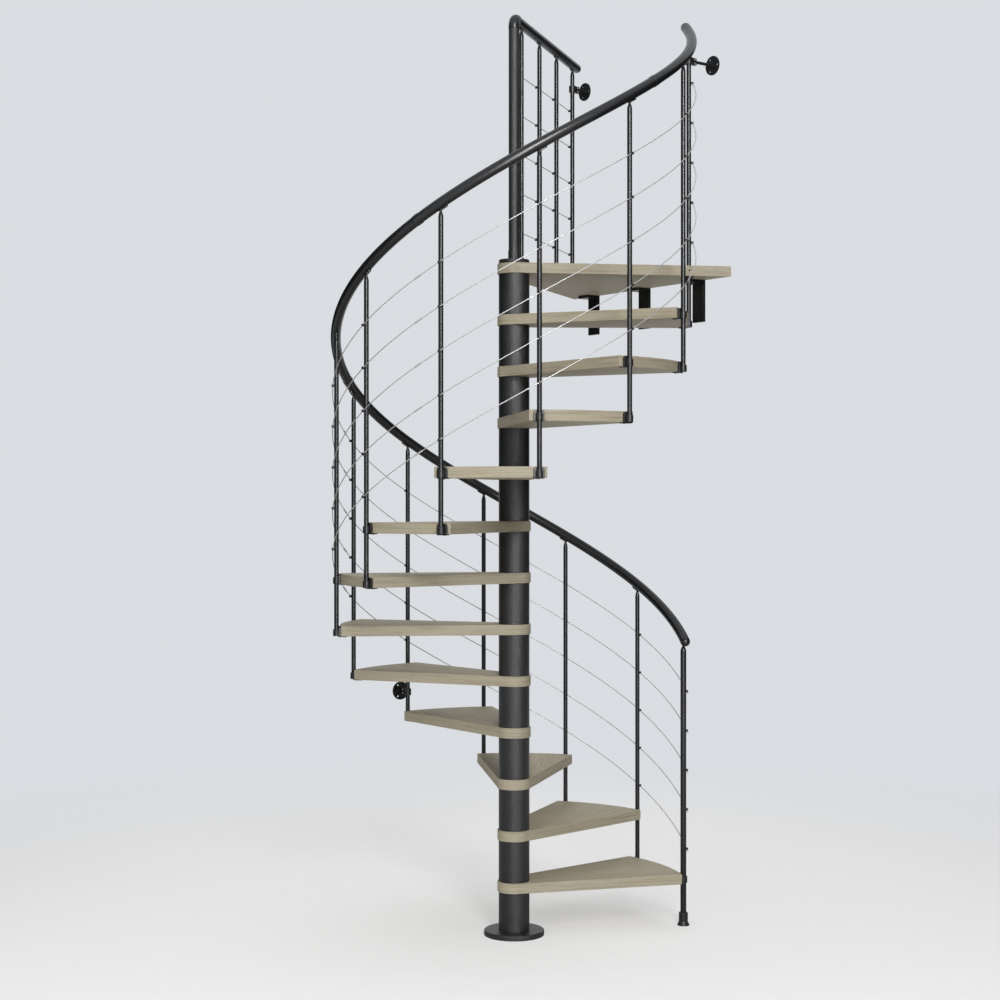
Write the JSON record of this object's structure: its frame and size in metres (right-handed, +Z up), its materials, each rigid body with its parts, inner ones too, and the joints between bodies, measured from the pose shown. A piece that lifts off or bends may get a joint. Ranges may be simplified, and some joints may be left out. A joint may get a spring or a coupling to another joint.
{
  "type": "spiral staircase",
  "caption": "Spiral staircase with timber treads round a steel column, a helical handrail, a cable balustrade and a corner landing that fixes to a wall.",
  "frame": {"origin": "centre of the base plate's underside, on the floor and on the column's axis", "axes": "+Z up along the column, +Y square to the wall that the landing's straight edge meets, +X along that wall"},
  "size_m": [1.6187, 1.5893, 3.983],
  "materials": {
    "column_black": "matt black powder coat with a fine texture",
    "baluster_black": "satin black powder coat",
    "fitting_black": "satin black coated steel and die castings",
    "handrail_black": "satin black plastic over a steel core",
    "tread_oak": "pale bleached oak with a fine straight grain, matt",
    "cable_steel": "stranded steel"
  },
  "bodies": {
    "root": {"base_plate": "column_black", "column_spacers": "column_black", "tread_01": "tread_oak", "tread_02": "tread_oak", "tread_03": "tread_oak", "tread_04": "tread_oak", "tread_05": "tread_oak", "tread_06": "tread_oak", "tread_07": "tread_oak", "tread_08": "tread_oak", "tread_09": "tread_oak", "tread_10": "tread_oak", "tread_11": "tread_oak", "tread_12": "tread_oak", "landing": "tread_oak", "column_cap": "column_black", "newel_post": "column_black", "newel_elbow": "handrail_black", "landing_handrail": "handrail_black", "handrail_1": "handrail_black", "handrail_2": "handrail_black", "handrail_3": "handrail_black", "handrail_4": "handrail_black", "handrail_5": "handrail_black", "handrail_end_caps": "handrail_black", "start_post": "baluster_black", "start_foot": "fitting_black", "stair_balusters": "baluster_black", "landing_balusters": "baluster_black", "tread_collars": "fitting_black", "rail_saddles": "fitting_black", "stair_cable_1": "cable_steel", "stair_cable_2": "cable_steel", "stair_cable_3": "cable_steel", "stair_cable_4": "cable_steel", "stair_cable_5": "cable_steel", "landing_cables": "cable_steel", "cable_clips": "fitting_black", "low_wall_anchor": "fitting_black", "top_wall_anchor": "fitting_black", "landing_wall_anchor": "fitting_black", "landing_brackets": "fitting_black"}
  },
  "joints": []
}
